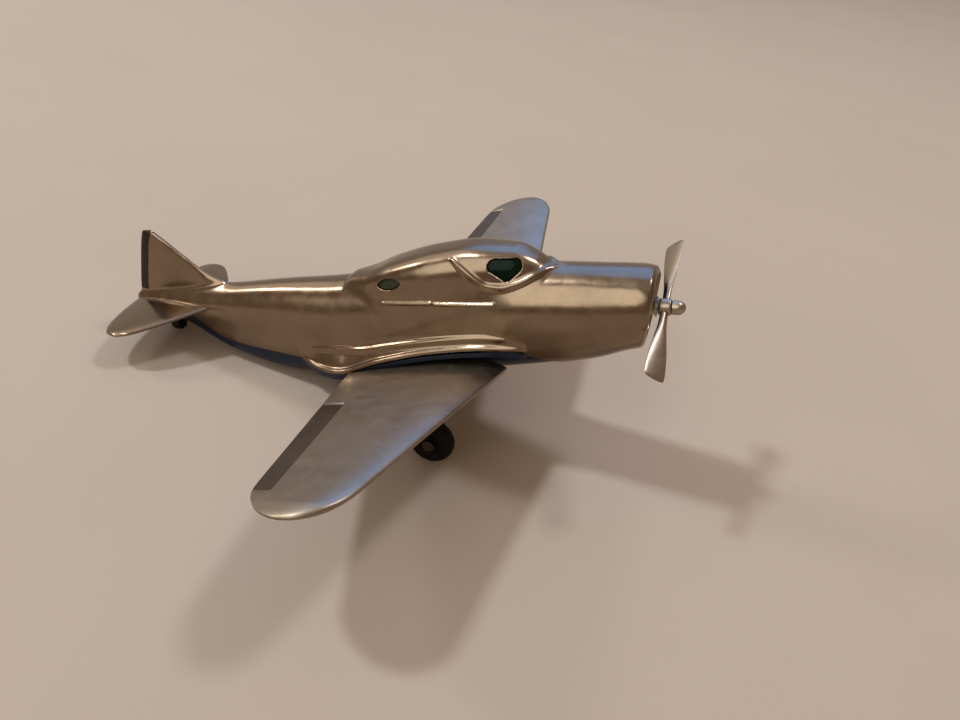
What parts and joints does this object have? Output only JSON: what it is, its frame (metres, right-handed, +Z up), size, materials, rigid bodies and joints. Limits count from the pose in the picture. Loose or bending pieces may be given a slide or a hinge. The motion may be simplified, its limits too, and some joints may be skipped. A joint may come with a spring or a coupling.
{
  "type": "propeller plane model",
  "caption": "Pocket die-cast model of a low-wing tail-dragger plane in polished metal, with a turning two-blade propeller and rolling wheels.",
  "frame": {"origin": "on the ground under the middle of the standing model, midway between nose and tail and between the wing tips", "axes": "+X towards the nose, +Y towards the left wing tip, +Z up; the model stands nose-up on its three wheels"},
  "size_m": [0.0876, 0.0944, 0.0328],
  "materials": {
    "polished_metal": "polished die-cast metal with a warm nickel tint",
    "propeller_metal": "dull bright metal",
    "dark_chassis": "dark navy moulded plastic, semi-gloss",
    "green_glazing": "dark bottle-green translucent plastic",
    "black_engine": "black plastic",
    "black_gear": "black coated metal",
    "wheel_plastic": "black plastic",
    "rubber": "black rubber",
    "brass": "turned brass",
    "steel": "plain steel"
  },
  "bodies": {
    "airframe": {"fuselage_shell": "polished_metal", "chassis": "dark_chassis", "wing_left": "polished_metal", "wing_right": "polished_metal", "tailplane": "polished_metal", "window_glazing": "green_glazing", "engine_face": "black_engine", "prop_bush": "brass", "gear_leg_left": "black_gear", "gear_leg_right": "black_gear", "axle_left": "steel", "axle_right": "steel", "tail_wheel_fork": "black_gear", "tail_wheel_pin": "steel", "belly_screw_front": "steel", "belly_screw_rear": "steel"},
    "propeller_set": {"propeller": "propeller_metal", "spinner": "propeller_metal", "prop_shaft": "steel", "shaft_clip": "steel", "thrust_washer": "steel"},
    "wheel_left": {"tyre_left": "rubber", "wheel_hub_left": "wheel_plastic"},
    "wheel_right": {"tyre_right": "rubber", "wheel_hub_right": "wheel_plastic"},
    "tail_wheel_set": {"tail_wheel": "rubber"}
  },
  "joints": [
    {"name": "prop_spin", "type": "hinge", "parent": "airframe", "child": "propeller_set", "pos_m": [0.04115, 0, 0.0271], "axis": [0.9774, 0, 0.2113], "continuous": true},
    {"name": "wheel_left_roll", "type": "hinge", "parent": "airframe", "child": "wheel_left", "pos_m": [0.01467, 0.01235, 0.00335], "axis": [0, 1, 0], "continuous": true},
    {"name": "wheel_right_roll", "type": "hinge", "parent": "airframe", "child": "wheel_right", "pos_m": [0.01467, -0.01235, 0.00335], "axis": [0, 1, 0], "continuous": true},
    {"name": "tail_wheel_roll", "type": "hinge", "parent": "airframe", "child": "tail_wheel_set", "pos_m": [-0.03633, 0, 0.0012], "axis": [0, 1, 0], "continuous": true}
  ]
}
